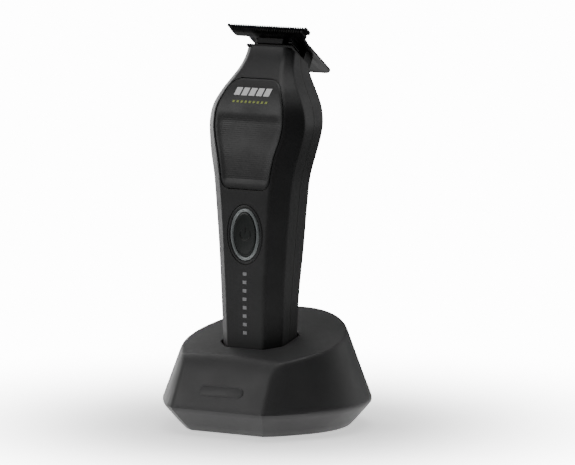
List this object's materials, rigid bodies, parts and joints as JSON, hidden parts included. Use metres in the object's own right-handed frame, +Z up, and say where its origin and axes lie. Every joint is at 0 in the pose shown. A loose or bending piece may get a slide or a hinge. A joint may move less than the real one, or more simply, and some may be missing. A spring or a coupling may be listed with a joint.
{
  "type": "hair clipper",
  "caption": "Cordless T-blade hair clipper with an hourglass handle, inset grip panel and oval power button, standing in a faceted charging dock.",
  "frame": {"origin": "on the floor, under the middle of the dock", "axes": "+Z up along the handle; the front with the power button faces -Y; +X is the object's left-hand side seen from behind"},
  "size_m": [0.0936, 0.0916, 0.178],
  "materials": {
    "casing": "soft-touch satin black",
    "dock_casing": "fine satin black",
    "panel": "satin black with fine ribs",
    "light_ring": "satin grey",
    "button": "dark grey-green satin",
    "blade": "black coated steel",
    "screw_black": "black oxide",
    "steel_parts": "plain",
    "contact_metal": "bright",
    "inner_plastic": "moulded dark grey",
    "board": "green solder mask",
    "cell_wrap": "blue sleeve",
    "rubber_pad": "matte"
  },
  "bodies": {
    "dock": {"dock_shell": "dock_casing", "socket_cup": "inner_plastic", "dock_base": "dock_casing", "dock_weight": "steel_parts", "dock_board": "board", "dock_inlet": "steel_parts", "contact_block": "inner_plastic", "dock_foot_1": "rubber_pad", "dock_foot_2": "rubber_pad", "dock_foot_3": "rubber_pad", "dock_foot_4": "rubber_pad", "dock_screw_1": "screw_black", "dock_screw_2": "screw_black", "dock_screw_3": "screw_black", "dock_screw_4": "screw_black"},
    "trimmer": {"front_shell": "casing", "rear_shell": "casing", "end_cap": "casing", "grip_panel": "panel", "button_bezel": "casing", "button_light_ring": "light_ring", "charge_contact_left": "contact_metal", "charge_contact_right": "contact_metal", "usb_port": "steel_parts", "chassis": "inner_plastic", "battery_cell": "cell_wrap", "main_board": "board", "tact_switch": "steel_parts", "motor_can": "steel_parts", "motor_bracket": "inner_plastic", "case_screw_left": "screw_black", "case_screw_right": "screw_black", "fixed_blade": "blade", "blade_bracket": "inner_plastic", "blade_screw_left": "screw_black", "blade_screw_right": "screw_black", "tension_spring": "steel_parts"},
    "button": {"power_button": "button"},
    "cutter": {"cutter_blade": "blade", "cutter_carrier": "inner_plastic"},
    "rotor": {"motor_shaft": "steel_parts", "eccentric_cam": "contact_metal"},
    "pin_left": {"contact_pin_left": "contact_metal"},
    "pin_right": {"contact_pin_right": "contact_metal"}
  },
  "joints": [
    {"name": "trimmer_lift", "type": "slide", "parent": "dock", "child": "trimmer", "axis": [0, 0, 1], "range_m": [0, 0.06]},
    {"name": "button_press", "type": "slide", "parent": "trimmer", "child": "button", "axis": [0, 1, 0], "range_m": [0, 0.0006], "stiffness_N_per_m": 800},
    {"name": "cutter_slide", "type": "slide", "parent": "trimmer", "child": "cutter", "axis": [1, 0, 0], "range_m": [-0.0009, 0.0009]},
    {"name": "rotor_spin", "type": "hinge", "parent": "trimmer", "child": "rotor", "pos_m": [0, -0.0012, 0.124], "axis": [0, 0.1564, 0.9877], "continuous": true},
    {"name": "pin_left_press", "type": "slide", "parent": "dock", "child": "pin_left", "axis": [0, 0, 1], "range_m": [-0.0008, 0], "stiffness_N_per_m": 400},
    {"name": "pin_right_press", "type": "slide", "parent": "dock", "child": "pin_right", "axis": [0, 0, 1], "range_m": [-0.0008, 0], "stiffness_N_per_m": 400}
  ]
}
